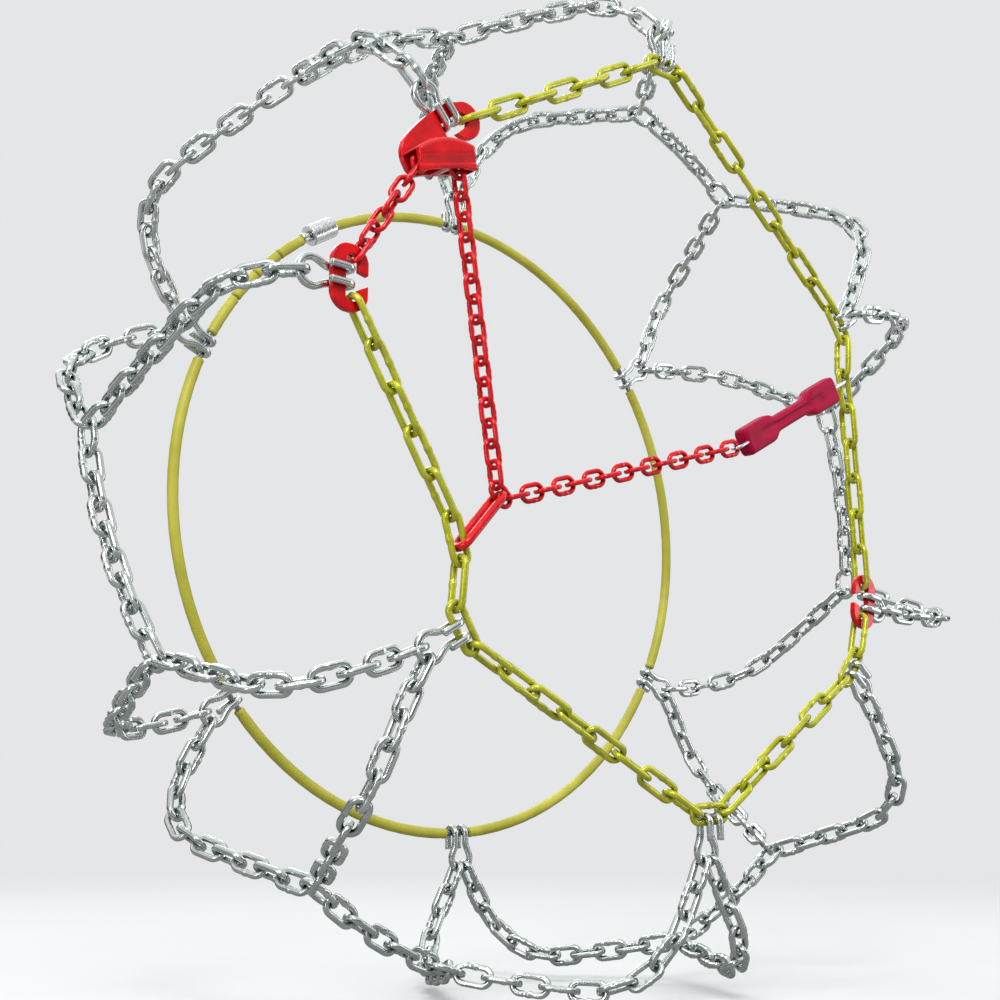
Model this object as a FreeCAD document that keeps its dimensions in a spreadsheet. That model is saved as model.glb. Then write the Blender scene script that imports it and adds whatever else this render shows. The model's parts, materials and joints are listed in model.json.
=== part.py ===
"""Snow chain for one passenger car tyre, as fitted: a diamond net of tread chain, a side chain with
a pull chain and rubber tensioner on the outer face, and a cable hoop on the inner face.

Frame: millimetres, origin at the wheel centre, Y along the wheel axis with the outer face towards -Y,
Z up. Angles on the wheel are in degrees from +X towards +Z.
"""
import FreeCAD, Part
import Sketcher
import math
import os
from FreeCAD import Matrix, Placement, Rotation, Vector

doc = FreeCAD.newDocument("SnowChain")

# ---------------------------------------------------------------- driving dimensions

DIMENSIONS = {
    # path of the chain centre lines around the tyre
    "net_radius": 323.5,
    "shoulder_radius": 38.0,
    "face_offset": 116.0,
    # tread chain
    "tread_wire": 3.8,
    "tread_length": 18.5,
    "tread_width": 14.5,
    "tread_play": 0.3,
    # corner links of the diamonds
    "corner_length": 20.0,
    "corner_width": 19.8,
    # side chain
    "side_wire": 4.0,
    "side_length": 26.2,
    "side_width": 14.0,
    "side_play": 0.3,
    # pull chain
    "pull_wire": 3.0,
    "pull_length": 13.0,
    "pull_width": 12.0,
    "pull_play": 0.3,
    # fork hooks
    "fork_wire": 4.1,
    "fork_bend": 4.2,
    "fork_arm_gap": 9.0,
    "fork_loop_radius": 8.1,
    "fork_loop_reach": 17.6,
    "fork_tail_length": 11.0,
    # coloured plates
    "plate_thickness": 3.8,
    "shackle_height": 38.4,
    "shackle_width": 23.6,
    "shackle_spine": 8.6,
    "shackle_arm": 6.2,
    "shackle_mouth": 4.6,
    "shackle_tip_slant": 4.0,
    "shackle_hole_round": 4.0,
    "shackle_corner_round": 11.0,
    "eye_radius": 11.5,
    "slot_width": 9.2,
    # hood over the pull chain
    "hood_length": 42.0,
    "hood_height": 18.0,
    "hood_depth": 17.0,
    "hood_channel_depth": 12.8,
    "hood_arch": 5.6,
    "rivet_diameter": 2.6,
    "rivet_head_diameter": 6.0,
    "rivet_head_height": 1.4,
    "rivet_length": 11.0,
    "rivet_play": 0.05,
    "hood_front_round": 3.0,
    "socket_play": 0.05,
    # ring between the side chain and the pull chain
    "ring_wire": 5.0,
    "ring_width": 15.0,
    "ring_length": 40.1,
    "ring_play": 0.3,
    # rubber tensioner
    "strap_length": 112.0,
    "strap_end_width": 19.0,
    "strap_waist_width": 11.0,
    "strap_thickness": 11.0,
    "strap_end_length": 30.0,
    "eye_wire": 2.4,
    "eye_half_gap": 3.6,
    "hook_wire": 3.0,
    "hook_lift": 3.7,
    # inner hoop
    "hoop_radius": 230.0,
    "cable_diameter": 4.0,
    "sheath_diameter": 7.5,
    "sheath_bore": 4.4,
    "socket_diameter": 15.0,
    "socket_length": 22.0,
    "knob_diameter": 9.0,
    "coupling_play": 0.4,
}

sheet = doc.addObject("Spreadsheet::Sheet", "Sizes")
for row, (alias, value) in enumerate(DIMENSIONS.items(), start=1):
    sheet.set("A%d" % row, alias)
    sheet.set("B%d" % row, str(value))
    sheet.setAlias("B%d" % row, alias)
doc.recompute()


def size(alias):
    """Value of one cell of the size sheet."""
    return float(sheet.get(alias))


# Places on the wheel: (radius, angle) of the side chain link at each fork hook, and the fork's direction
SIDE_LINKS = {
    "a2": (209.0, 213.9, 211.0),
    "a3": (217.5, 276.0, 273.5),
    "a4": (206.6, 325.7, 321.5),
    "a5": (216.0, 37.8, 37.0),
    "a6": (273.0, 91.6, 91.4),
}
# Point on the inner edge of each coloured plate's spine, and the direction its fork hook pulls
PLATE_SEATS = {
    "shackle_1": (-258.1, 65.8, 180.0),
    "shackle_2": (190.9, -69.9, -8.0),
    "lock": (-190.8, 177.2, 131.8),
}
# Corners of the diamonds on the tread: (angle, offset from the middle of the tread)
CORNERS = [
    (134.0, -5.0), (180.0, 44.0), (204.0, 2.0), (233.0, -10.0), (253.5, -5.0), (290.5, 0.0),
    (311.0, -5.0), (354.0, 0.0), (20.0, 0.0), (56.0, 0.0), (74.5, 0.0), (107.5, 0.0),
]
CONNECTORS = [(11, 0), (1, 2), (3, 4), (5, 6), (7, 8), (9, 10)]
INNER_HOOK_ANGLES = [157.0, 218.0, 272.0, 332.0, 38.0, 91.0]
DIAMOND_CORNERS = [(0, 1), (2, 3), (4, 5), (6, 7), (8, 9), (10, 11)]

OUTWARD = Vector(0, -1, 0)
INWARD = Vector(0, 1, 0)
face_y = -size("face_offset")


def face_point(x, z, lift=0.0):
    """Point on the outer face plane, lifted outwards."""
    return Vector(x, face_y - lift, z)


def polar(radius, angle, y=0.0):
    """Point at a radius and an angle around the wheel axis."""
    turn = math.radians(angle)
    return Vector(radius * math.cos(turn), y, radius * math.sin(turn))


def heading(angle):
    """Unit vector across the wheel face at an angle."""
    return polar(1.0, angle)


def unit(vector):
    """Copy of a vector with length one."""
    return vector * (1.0 / vector.Length)


def frame_at(point, x_axis, z_axis):
    """Placement with its origin at point, X along x_axis and Z as near z_axis as possible."""
    x = unit(x_axis)
    y = unit(z_axis.cross(x))
    z = x.cross(y)
    return Placement(Matrix(x.x, y.x, z.x, point.x, x.y, y.y, z.y, point.y,
                            x.z, y.z, z.z, point.z, 0, 0, 0, 1))


# ---------------------------------------------------------------- document helpers

SUB_PARTS = []


def plane_of(body, role):
    """Origin plane of a body, found by its role."""
    for feature in body.Origin.OriginFeatures:
        if feature.Role == role:
            return feature
    raise RuntimeError("no plane " + role)


def sketch_on(body, name, role, offset=None):
    """Sketch on one of the body's own origin planes."""
    sketch = body.newObject("Sketcher::SketchObject", name)
    sketch.AttachmentSupport = [(plane_of(body, role), "")]
    sketch.MapMode = "FlatFace"
    if offset:
        sketch.setExpression("AttachmentOffset.Base.z", offset)
    return sketch


def circle_in(sketch, x, y, radius_rule, x_rule=None):
    """Circle in a sketch, its radius and its distance along X bound to the size sheet."""
    start_radius = 1.0
    index = sketch.addGeometry(Part.Circle(Vector(x, y, 0), Vector(0, 0, 1), start_radius), False)
    radius = sketch.addConstraint(Sketcher.Constraint("Radius", index, start_radius))
    sketch.setExpression("Constraints[%d]" % radius, radius_rule)
    if x_rule:
        place = sketch.addConstraint(Sketcher.Constraint("DistanceX", -1, 1, index, 3, x))
        sketch.setExpression("Constraints[%d]" % place, x_rule)
        sketch.addConstraint(Sketcher.Constraint("PointOnObject", index, 3, -1))
    return index


def polygon_in(sketch, points):
    """Closed outline of straight lines through the points, fixed by its own coordinates."""
    count = len(points)
    first = sketch.GeometryCount
    for number in range(count):
        start = Vector(points[number][0], points[number][1], 0)
        end = Vector(points[(number + 1) % count][0], points[(number + 1) % count][1], 0)
        sketch.addGeometry(Part.LineSegment(start, end), False)
    for number in range(count):
        following = first + (number + 1) % count
        sketch.addConstraint(Sketcher.Constraint("Coincident", first + number, 2, following, 1))


def outline_in(sketch, start, steps):
    """Closed outline from a start point: each step is (end,) for a line or (through, end) for an arc."""
    here = Vector(start[0], start[1], 0)
    for step in steps:
        points = [Vector(x, y, 0) for x, y in step]
        edge = Part.Arc(here, points[0], points[1]) if len(points) == 2 else Part.LineSegment(here, points[0])
        sketch.addGeometry(edge, False)
        here = points[-1]
    sketch.addGeometry(Part.LineSegment(here, Vector(start[0], start[1], 0)), False)


def pad(body, name, sketch, length_rule, symmetric=True):
    """Pad of a sketch, its length bound to the size sheet."""
    feature = body.newObject("PartDesign::Pad", name)
    feature.Profile = sketch
    feature.SideType = "Symmetric" if symmetric else "One side"
    feature.setExpression("Length", length_rule)
    sketch.Visibility = False
    return feature


def pocket(body, name, sketch, length_rule):
    """Symmetric pocket of a sketch, which has to remove material."""
    doc.recompute()
    before = body.Shape.Volume
    feature = body.newObject("PartDesign::Pocket", name)
    feature.Profile = sketch
    feature.SideType = "Symmetric"
    feature.setExpression("Length", length_rule)
    doc.recompute()
    if not feature.Shape.Volume < before:
        raise RuntimeError(name + " removes nothing")
    return feature


def round_edges(body, name, base, chosen, radius_rule):
    """Fillet of the edges of the body's last feature that pass the chosen test."""
    doc.recompute()
    names = []
    for number, edge in enumerate(base.Shape.Edges, start=1):
        if chosen(edge):
            names.append("Edge%d" % number)
    feature = body.newObject("PartDesign::Fillet", name)
    feature.Base = (base, names)
    feature.setExpression("Radius", radius_rule)
    doc.recompute()
    return feature


def sub_part(item, label):
    """Marks a document object as one sub-part that is written out under its label."""
    item.Label = label
    SUB_PARTS.append(item)
    return item


def group(label, shapes):
    """Sub-part made of separate solids placed one by one."""
    item = doc.addObject("Part::Feature", label)
    item.Shape = Part.makeCompound(shapes) if len(shapes) > 1 else shapes[0]
    item.Placement = Placement() if len(shapes) > 1 else shapes[0].Placement
    return sub_part(item, label)


def placed(shape, placement):
    """Copy of a shape at a placement."""
    copy = shape.copy()
    copy.Placement = placement
    return copy


def wire_solid(edges, diameter):
    """Round wire along a smooth path of edges."""
    path = Part.Wire(edges)
    start = path.OrderedEdges[0]
    at = start.valueAt(start.FirstParameter)
    along = start.tangentAt(start.FirstParameter)
    section = Part.Wire(Part.makeCircle(diameter / 2, at, along))
    return path.makePipeShell([section], True, True)


def arc(start, middle, end):
    """Circular edge through three points."""
    return Part.Arc(start, middle, end).toShape()


# ---------------------------------------------------------------- chain links

class Link:
    """One size of welded link, lying in its own XY plane with its length along X."""

    def __init__(self, family):
        self.wire = size(("tread" if family == "corner" else family) + "_wire")
        self.length = size(family + "_length")
        self.width = size(family + "_width")
        self.play = size(("tread" if family == "corner" else family) + "_play")
        self.crown = self.width / 2 - self.wire
        self.crown_reach = self.length / 2 - self.crown
        self.shape = self.build(family)

    def build(self, family):
        """Two straight legs and two half-ring crowns, as a body bound to the size sheet."""
        wire = "Sizes.%s_wire" % ("tread" if family == "corner" else family)
        half_width = "(Sizes.%s_width - %s) / 2" % (family, wire)
        straight = "(Sizes.%s_length + 2 * %s - Sizes.%s_width)" % (family, wire, family)
        body = doc.addObject("PartDesign::Body", family + "_link")
        legs = sketch_on(body, family + "_legs_sketch", "YZ_Plane")
        middle = (self.width - self.wire) / 2
        circle_in(legs, middle, 0, wire + " / 2", half_width)
        circle_in(legs, -middle, 0, wire + " / 2", "-" + half_width)
        pad(body, family + "_legs", legs, straight)
        crown_sketch = sketch_on(body, family + "_crown_sketch", "YZ_Plane", straight + " / 2")
        circle_in(crown_sketch, middle, 0, wire + " / 2", half_width)
        crown = body.newObject("PartDesign::Revolution", family + "_crown")
        crown.Profile = crown_sketch
        crown.ReferenceAxis = (crown_sketch, ["V_Axis"])
        crown.Angle = 180.0
        doc.recompute()
        if crown.Shape.BoundBox.XMax < self.length / 2:
            crown.Reversed = True
            doc.recompute()
        mirror = body.newObject("PartDesign::Mirrored", family + "_other_crown")
        mirror.Originals = [crown]
        mirror.MirrorPlane = (plane_of(body, "YZ_Plane"), [""])
        body.Tip = mirror
        doc.recompute()
        return body.Shape

    def at(self, centre, along, normal):
        """Placed link with its length along `along` and its plane square to `normal`."""
        return placed(self.shape, frame_at(centre, along, normal))


tread_link = Link("tread")
corner_link = Link("corner")
side_link = Link("side")
pull_link = Link("pull")


def straight_run(link, from_centre, from_radius, to_centre, to_radius, normal, count=None):
    """Links in a straight line between two curved seats.

    Each seat is the centre and inner radius of the eye that the end link hangs in. Neighbouring
    links are a quarter turn apart; an even count spreads the difference over the whole run.
    """
    along = unit(to_centre - from_centre)
    start = from_centre + along * (from_radius - link.play)
    end = to_centre - along * (to_radius - link.play)
    distance = (end - start).Length
    if count is None:
        count = math.ceil(distance / (link.length - link.play))
    step = distance / count
    turn = 180.0 * round((count + 1) / 2) / (count + 1)
    links = []
    for number in range(count):
        centre = start + along * (step * (number + 0.5))
        face = Rotation(along, turn * (number + 1)).multVec(normal)
        links.append(link.at(centre, along, face))
    return links


# ---------------------------------------------------------------- path over the tyre

def tread_half_width():
    """Half width of the flat part of the path across the tread."""
    return size("face_offset") - size("fork_bend") - size("shoulder_radius")


def surface_point(angle, reach):
    """Point and outward normal of the chain path at an angle, `reach` across from the tread middle."""
    side = 1.0 if reach >= 0 else -1.0
    flat = tread_half_width()
    bend = size("shoulder_radius")
    over = abs(reach) - flat
    if over <= 0:
        lean = 0.0
        radius = size("net_radius")
        across = abs(reach)
    elif over <= bend * math.pi / 2:
        lean = over / bend
        radius = size("net_radius") - bend * (1 - math.cos(lean))
        across = flat + bend * math.sin(lean)
    else:
        lean = math.pi / 2
        radius = size("net_radius") - bend - (over - bend * math.pi / 2)
        across = flat + bend
    normal = heading(angle) * math.cos(lean) + Vector(0, side * math.sin(lean), 0)
    return polar(radius, angle, side * across), normal


def surface_reach(point):
    """Angle and reach of the path position nearest a point beside the tyre."""
    radius = math.hypot(point.x, point.z)
    bend = size("shoulder_radius")
    edge_radius = size("net_radius") - bend
    reach = tread_half_width() + bend * math.pi / 2 + (edge_radius - radius)
    if radius > edge_radius:
        reach = tread_half_width() + bend * math.acos((radius - edge_radius) / bend)
    side = 1.0 if point.y >= 0 else -1.0
    return math.degrees(math.atan2(point.z, point.x)), side * reach


class SurfacePath:
    """Path over the tyre between two places, sampled finely, that ends exactly at end_point."""

    SAMPLES = 240

    def __init__(self, start, end, end_point=None):
        turn = (end[0] - start[0] + 180.0) % 360.0 - 180.0
        self.points = []
        self.normals = []
        for number in range(self.SAMPLES + 1):
            share = number / self.SAMPLES
            point, normal = surface_point(start[0] + turn * share, start[1] + (end[1] - start[1]) * share)
            self.points.append(point)
            self.normals.append(normal)
        if end_point:
            miss = end_point - self.points[-1]
            for number in range(self.SAMPLES + 1):
                self.points[number] = self.points[number] + miss * (number / self.SAMPLES) ** 2
        self.lengths = [0.0]
        for number in range(self.SAMPLES):
            gap = (self.points[number + 1] - self.points[number]).Length
            self.lengths.append(self.lengths[-1] + gap)
        self.total = self.lengths[-1]

    def at(self, distance):
        """Point and normal at a distance along the path."""
        number = 0
        while number < self.SAMPLES - 1 and self.lengths[number + 1] < distance:
            number += 1
        part = (distance - self.lengths[number]) / (self.lengths[number + 1] - self.lengths[number])
        point = self.points[number] + (self.points[number + 1] - self.points[number]) * part
        normal = self.normals[number] + (self.normals[number + 1] - self.normals[number]) * part
        return point, unit(normal)


def surface_run(link, path, start_radius, end_radius):
    """Links along a path that bends over the tyre, with the first and last link standing on edge.

    Links on edge carry the bends at the centres of their crowns, so the path is cut at those centres.
    """
    over_edge = link.length - 2 * link.crown
    over_flat = link.length + 2 * (link.crown - link.play)
    first = start_radius - link.play + link.length - link.crown
    last = end_radius - link.play + link.length - link.crown
    between = path.total - first - last
    flats = max(1, math.ceil((between + over_edge) / (over_edge + over_flat)))
    scale = between / (flats * over_flat + (flats - 1) * over_edge)
    cuts = [0.0, first]
    for number in range(flats):
        cuts.append(cuts[-1] + over_flat * scale)
        if number < flats - 1:
            cuts.append(cuts[-1] + over_edge * scale)
    cuts.append(path.total)
    points = [path.at(cut) for cut in cuts]
    links = []
    for number in range(len(points) - 1):
        start, end = points[number][0], points[number + 1][0]
        along = unit(end - start)
        normal = unit(points[number][1] + points[number + 1][1])
        on_edge = number % 2 == 0
        centre = (start + end) * 0.5
        if number == 0:
            centre = end - along * link.crown_reach
        if number == len(points) - 2:
            centre = start + along * link.crown_reach
        links.append(link.at(centre, along, along.cross(normal) if on_edge else normal))
    return links


# ---------------------------------------------------------------- fork hooks

def build_fork():
    """Open wire hook: a loop at +X, two arms, each bent over the origin and folded back in front."""
    bend = size("fork_bend")
    half_gap = size("fork_arm_gap") / 2
    loop = size("fork_loop_radius")
    reach = size("fork_loop_reach")
    tail = size("fork_tail_length")
    shoulder = 6.0
    spread = math.radians(112.0)
    edges = []
    for side in (1, -1):
        folded = Vector(tail, side * half_gap, bend)
        over = Vector(0, side * half_gap, bend)
        nose = Vector(-bend, side * half_gap, 0)
        under = Vector(0, side * half_gap, -bend)
        arm = Vector(shoulder, side * half_gap, -bend)
        joined = Vector(reach + loop * math.cos(spread), side * loop * math.sin(spread), -bend)
        flare = Part.BSplineCurve()
        leaving = Vector(math.sin(spread), -side * math.cos(spread), 0)
        flare.interpolate([arm, joined], InitialTangent=Vector(1, 0, 0) * 8, FinalTangent=leaving * 8)
        edges.append(Part.LineSegment(folded, over).toShape())
        edges.append(arc(over, nose, under))
        edges.append(Part.LineSegment(under, arm).toShape())
        edges.append(flare.toShape())
    top = Vector(reach + loop * math.cos(spread), loop * math.sin(spread), -bend)
    bottom = Vector(top.x, -top.y, -bend)
    edges.append(arc(top, Vector(reach + loop, 0, -bend), bottom))
    return wire_solid(Part.__sortEdges__(edges), size("fork_wire"))


fork_shape = build_fork()


class Fork:
    """A fork hook placed at the part it grips, with the seat it gives the tread chain."""

    def __init__(self, seat, direction, front):
        self.direction = unit(direction)
        self.front = front
        self.shape = placed(fork_shape, frame_at(seat, self.direction, front))
        self.loop_centre = seat + self.direction * size("fork_loop_reach") - front * size("fork_bend")

    def loop_wire(self, spread):
        """Centre of the loop's wire, `spread` degrees to one side of the pull."""
        return self.loop_centre + Rotation(OUTWARD, spread).multVec(self.direction) * size("fork_loop_radius")


# ---------------------------------------------------------------- outer face: plates and side chain

class SideLink:
    """Side chain link that lies flat on the face and carries a fork hook or a ring."""

    def __init__(self, centre, along):
        self.centre = centre
        self.along = unit(along)
        self.start = centre - self.along * side_link.crown_reach
        self.end = centre + self.along * side_link.crown_reach
        self.shape = side_link.at(centre, self.along, OUTWARD)


half_side_width = (size("side_width") - size("side_wire")) / 2
carriers = {}
forks = {}
for name, (radius, angle, pull_angle) in SIDE_LINKS.items():
    middle = polar(radius, angle, face_y)
    carriers[name] = SideLink(middle, heading(pull_angle - 90.0))
    forks[name] = Fork(middle + heading(pull_angle) * half_side_width, heading(pull_angle), OUTWARD)
for name, (x, z, pull_angle) in PLATE_SEATS.items():
    forks[name] = Fork(face_point(x, z), heading(pull_angle), OUTWARD)


class PlateFrame:
    """Local directions of a plate: `out` towards its fork hook, `up` a quarter turn back from that."""

    def __init__(self, name):
        x, z, pull_angle = PLATE_SEATS[name]
        self.seat = face_point(x, z)
        self.out = heading(pull_angle)
        self.up = heading(pull_angle - 90.0)
        if self.up.z < 0:
            self.up = self.up * -1.0

    def point(self, out, up):
        """Point of the face at local coordinates of the plate."""
        return self.seat + self.out * out + self.up * up


MOUTH_CLEARANCE = 0.3
PLATE_EDGE_SETBACK = 0.8
shackle_eye_out = -MOUTH_CLEARANCE - (size("shackle_width") - size("shackle_spine") - size("shackle_arm")) / 2
shackle_eye_up = 9.2


def build_shackle(label, plate_name):
    """Flat C-shaped plate: spine on the fork side, a long hole, and a mouth between two curled arms."""
    body = doc.addObject("PartDesign::Body", label)
    frame = PlateFrame(plate_name)
    outer = size("shackle_spine")
    inner = outer - size("shackle_width")
    top = size("shackle_height") / 2
    outline = sketch_on(body, label + "_outline", "XY_Plane")
    polygon_in(outline, [(inner, -top), (outer, -top), (outer, top), (inner, top)])
    blank = pad(body, label + "_blank", outline, "Sizes.plate_thickness")
    doc.recompute()
    round_edges(body, label + "_corners", blank, lambda edge: upright(edge, 0), "Sizes.shackle_corner_round")
    hole = sketch_on(body, label + "_hole_sketch", "XY_Plane")
    arm = inner + size("shackle_arm")
    hole_top = shackle_eye_up + size("shackle_hole_round")
    seat_side = -MOUTH_CLEARANCE
    polygon_in(hole, [(arm, -hole_top), (seat_side, -hole_top), (seat_side, hole_top), (arm, hole_top)])
    opening = pocket(body, label + "_hole", hole, "2 * Sizes.plate_thickness")
    round_edges(body, label + "_hole_corners", opening, lambda edge: upright(edge, hole_top),
                "Sizes.shackle_hole_round")
    mouth = sketch_on(body, label + "_mouth_sketch", "XY_Plane")
    half_mouth = size("shackle_mouth") / 2
    slant = size("shackle_tip_slant")
    polygon_in(mouth, [(inner - 1, -half_mouth), (arm + 1, -half_mouth - slant / 2),
                       (arm + 1, half_mouth + slant), (inner - 1, half_mouth)])
    cut = pocket(body, label + "_mouth", mouth, "2 * Sizes.plate_thickness")
    body.Tip = cut
    body.Placement = frame_at(frame.seat, frame.out, OUTWARD)
    return sub_part(body, label)


def upright(edge, hole_top):
    """True for a straight edge through the plate's thickness, at the hole's corners if given."""
    if edge.Curve.TypeId != "Part::GeomLine":
        return False
    start, end = edge.Vertexes[0].Point, edge.Vertexes[1].Point
    if abs(start.x - end.x) > 1e-6 or abs(start.y - end.y) > 1e-6:
        return False
    return hole_top == 0 or abs(abs(start.y) - hole_top) < 1e-6



# Outline of the lock plate from its seat: X towards the fork hook, Y along the bar towards the hood
LOCK_START = (8.6, -6.0)
LOCK_OUTLINE = [((8.6, 5.0),), ((7.5, 22.0), (5.0, 36.0)), ((0.0, 43.5), (-8.0, 46.5)),
                ((-14.0, 46.0), (-17.6, 40.0)), ((-27.5, 19.0),), ((-27.0, 13.2), (-23.0, 9.5)),
                ((-10.0, 7.2),), ((-10.0, -12.5),), ((5.5, -13.0),)]
LOCK_EYE = (-6.1, -11.7)
LOCK_SLOT_INNER = -9.5
LOCK_SLOT_OPEN_END = 7.2
LOCK_SLOT_ROUND_END = -9.4
LOCK_MOUTH = [(-9.0, -0.8), (-9.0, 7.2), (-20.0, 9.0), (-20.0, -0.8)]
lock_frame = frame_at(forks["lock"].shape.Placement.Base, heading(PLATE_SEATS["lock"][2]), OUTWARD)

# Hood: middle of its footprint on the front of the lock plate, and its tilt
HOOD_MIDDLE = (-202.0, 148.0)
HOOD_TILT = 16.9
RIVET_PLACES = [(0.3, 5.2), (-0.8, -6.8)]
half_plate = size("plate_thickness") / 2
hood_frame = frame_at(face_point(HOOD_MIDDLE[0], HOOD_MIDDLE[1], half_plate), heading(HOOD_TILT), OUTWARD)


def drill_rivet_holes(body, label, frame):
    """Two holes through a body at the rivet places of the hood."""
    sketch = sketch_on(body, label + "_rivet_sketch", "XY_Plane")
    for x, y in RIVET_PLACES:
        place = frame.inverse().multVec(hood_frame.multVec(Vector(x, y, 0)))
        circle_in(sketch, place.x, place.y, "Sizes.rivet_diameter / 2 + Sizes.rivet_play")
    return pocket(body, label + "_rivet_holes", sketch, "2 * Sizes.rivet_length")


def build_lock_plate():
    """Flat plate: a body under the hood, a bar for the fork hook, and an eye curled round a slot."""
    label = "lock_plate"
    body = doc.addObject("PartDesign::Body", label)
    outline = sketch_on(body, label + "_outline", "XY_Plane")
    outline_in(outline, LOCK_START, LOCK_OUTLINE)
    pad(body, label + "_blank", outline, "Sizes.plate_thickness")
    eye_sketch = sketch_on(body, label + "_eye_sketch", "XY_Plane")
    circle_in(eye_sketch, LOCK_EYE[0], LOCK_EYE[1], "Sizes.eye_radius")
    pad(body, label + "_eye", eye_sketch, "Sizes.plate_thickness")
    slot = sketch_on(body, label + "_slot_sketch", "XY_Plane")
    polygon_in(slot, [(LOCK_SLOT_INNER, LOCK_SLOT_ROUND_END), (-MOUTH_CLEARANCE, LOCK_SLOT_ROUND_END),
                      (-MOUTH_CLEARANCE, LOCK_SLOT_OPEN_END), (LOCK_SLOT_INNER, LOCK_SLOT_OPEN_END)])
    pocket(body, label + "_slot", slot, "2 * Sizes.plate_thickness")
    end_sketch = sketch_on(body, label + "_slot_end_sketch", "XY_Plane")
    slot_middle = (LOCK_SLOT_INNER - MOUTH_CLEARANCE) / 2
    circle_in(end_sketch, slot_middle, LOCK_SLOT_ROUND_END, "Sizes.slot_width / 2")
    pocket(body, label + "_slot_end", end_sketch, "2 * Sizes.plate_thickness")
    mouth = sketch_on(body, label + "_mouth_sketch", "XY_Plane")
    polygon_in(mouth, LOCK_MOUTH)
    pocket(body, label + "_mouth", mouth, "2 * Sizes.plate_thickness")
    body.Tip = drill_rivet_holes(body, label, lock_frame)
    body.Placement = lock_frame
    return sub_part(body, label)


def build_hood():
    """Raised cover that guides the pull chain: open on the plate side, at the left and at the right below."""
    label = "chain_guide_hood"
    body = doc.addObject("PartDesign::Body", label)
    half = size("hood_length") / 2
    top = size("hood_height") / 2 + 0.4
    side_top = top - size("hood_arch")
    bottom = top - size("hood_height") - 0.7
    outline = sketch_on(body, label + "_outline", "XY_Plane")
    outline_in(outline, (-half, side_top), [((0, top), (half, side_top)), ((half - 1.5, bottom - 1),),
                                            ((0, bottom + 0.7), (-half - 1.5, bottom - 1))])
    blank = pad(body, label + "_blank", outline, "Sizes.hood_depth", symmetric=False)
    doc.recompute()
    front = size("hood_depth")
    round_edges(body, label + "_front_round", blank,
                lambda edge: all(abs(v.Point.z - front) < 1e-6 for v in edge.Vertexes),
                "Sizes.hood_front_round")
    slope = sketch_on(body, label + "_slope_sketch", "YZ_Plane")
    polygon_in(slope, [(-0.5, front + 1), (-0.5, front), (-5.6, front - 2.8), (-6.4, front - 2.0),
                       (-14.0, front - 2.0), (-14.0, front + 1)])
    pocket(body, label + "_slope", slope, "2 * Sizes.hood_length")
    channel = sketch_on(body, label + "_channel_sketch", "XY_Plane")
    polygon_in(channel, [(-30.0, 3.0), (-19.5, 3.0), (-14.0, 5.6), (-8.0, 6.9), (-2.8, 6.9), (-2.8, 2.4),
                         (3.2, 2.4), (3.2, 5.4), (12.0, 5.2), (19.0, 3.0), (19.0, -30.0), (4.6, -30.0),
                         (2.8, -5.0), (-4.2, -5.0), (-6.5, -30.0), (-30.0, -30.0)])
    pocket(body, label + "_channel", channel, "2 * Sizes.hood_channel_depth")
    body.Tip = drill_rivet_holes(body, label, hood_frame)
    body.Placement = hood_frame
    return sub_part(body, label)


def build_rivets():
    """Two rivets through the lock plate into the hood, heads on the tyre side."""
    body = doc.addObject("PartDesign::Body", "rivet")
    shank = sketch_on(body, "rivet_shank_sketch", "XY_Plane")
    circle_in(shank, 0, 0, "Sizes.rivet_diameter / 2")
    pad(body, "rivet_shank", shank, "Sizes.rivet_length", symmetric=False)
    head = sketch_on(body, "rivet_head_sketch", "XY_Plane")
    circle_in(head, 0, 0, "Sizes.rivet_head_diameter / 2")
    feature = pad(body, "rivet_head", head, "Sizes.rivet_head_height", symmetric=False)
    feature.Reversed = True
    doc.recompute()
    drop = size("plate_thickness") + size("rivet_play")
    places = [hood_frame.multVec(Vector(x, y, -drop)) for x, y in RIVET_PLACES]
    shapes = [placed(body.Shape, frame_at(place, heading(HOOD_TILT), OUTWARD)) for place in places]
    return group("guide_rivets", shapes)


# ---------------------------------------------------------------- outer face: chains

shackle_eye = {}
for number in (1, 2):
    frame = PlateFrame("shackle_%d" % number)
    shackle_eye[number] = {"top": frame.point(shackle_eye_out, shackle_eye_up),
                           "bottom": frame.point(shackle_eye_out, -shackle_eye_up)}
PULL_START_SINK = 0.6
shackle_radius = size("shackle_hole_round") - PLATE_EDGE_SETBACK
lock_radius = size("slot_width") / 2 - PLATE_EDGE_SETBACK
lock_eye_centre = lock_frame.multVec(Vector((LOCK_SLOT_INNER - MOUTH_CLEARANCE) / 2, LOCK_SLOT_ROUND_END, 0))

# Link that the tensioner hooks on, one link below the fork hook of the fifth diamond
link_gap = side_link.length - side_link.play + 2 * (side_link.crown - side_link.play)
TENSIONER_LINK_FALL = -94.0
TENSIONER_LINK_LEAN = -80.0
tensioner_start = carriers["a5"].end + heading(TENSIONER_LINK_FALL) * link_gap
carriers["tensioner"] = SideLink(tensioner_start + heading(TENSIONER_LINK_LEAN) * side_link.crown_reach,
                                 heading(TENSIONER_LINK_LEAN))
# Link that the ring grips, one link above the fork hook of the second diamond
RING_LINK_RISE = 85.0
RING_LINK_LEAN = 108.0
ring_start = carriers["a2"].end + heading(RING_LINK_RISE) * link_gap
ring_link_along = heading(RING_LINK_LEAN)
carriers["ring"] = SideLink(ring_start + ring_link_along * side_link.crown_reach, ring_link_along)


def side_run(from_centre, from_radius, to_centre, to_radius):
    """Side chain links between two seats on the face."""
    return straight_run(side_link, from_centre, from_radius, to_centre, to_radius, OUTWARD)


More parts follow.
